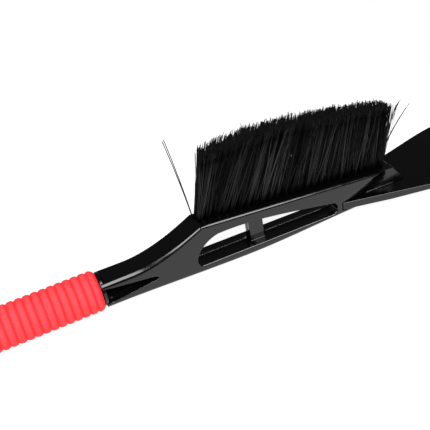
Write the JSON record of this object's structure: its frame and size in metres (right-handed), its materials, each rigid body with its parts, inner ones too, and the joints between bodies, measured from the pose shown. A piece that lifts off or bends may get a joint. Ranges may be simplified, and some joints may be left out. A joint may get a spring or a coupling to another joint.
{
  "type": "snow brush with ice scraper",
  "caption": "Hand snow brush and ice scraper: moulded handle and windowed brush block, ribbed foam grip, slanted bristle tufts, flared scraper blade, hanging hole.",
  "frame": {"origin": "bottom centre of the tool's box, bristles up, on the plane that the foam grip rests on", "axes": "+X along the handle towards the scraping edge, +Z the side that the bristles stand on, +Y to the left looking along +X"},
  "size_m": [0.576, 0.105, 0.12],
  "materials": {
    "body_black": "moulded polypropylene, polished tool finish",
    "blade_black": "moulded polypropylene, polished tool finish",
    "cap_black": "moulded polypropylene",
    "grip_foam": "closed-cell foam, matte",
    "staple_steel": "drawn wire strip",
    "bristle": "extruded filament"
  },
  "bodies": {
    "root": {"body_moulding": "body_black", "foam_grip": "grip_foam", "end_cap": "cap_black", "scraper_blade": "blade_black", "anchor_staples_front": "staple_steel", "anchor_staples_middle": "staple_steel", "anchor_staples_back": "staple_steel", "bristle_tufts_01": "bristle", "bristle_tufts_02": "bristle", "bristle_tufts_03": "bristle", "bristle_tufts_04": "bristle", "bristle_tufts_05": "bristle", "bristle_tufts_06": "bristle", "bristle_tufts_07": "bristle", "bristle_tufts_08": "bristle", "bristle_tufts_09": "bristle", "bristle_tufts_10": "bristle", "bristle_tufts_11": "bristle", "bristle_tufts_12": "bristle", "bristle_tufts_13": "bristle", "bristle_tufts_14": "bristle", "bristle_tufts_15": "bristle", "bristle_tufts_16": "bristle", "bristle_tufts_17": "bristle", "bristle_tufts_18": "bristle", "bristle_tufts_19": "bristle", "bristle_tufts_20": "bristle", "bristle_tufts_21": "bristle", "bristle_tufts_22": "bristle", "bristle_tufts_23": "bristle", "bristle_tufts_24": "bristle", "bristle_tufts_25": "bristle", "bristle_tufts_26": "bristle", "stray_bristles_rear": "bristle", "stray_bristles_front": "bristle"}
  },
  "joints": []
}
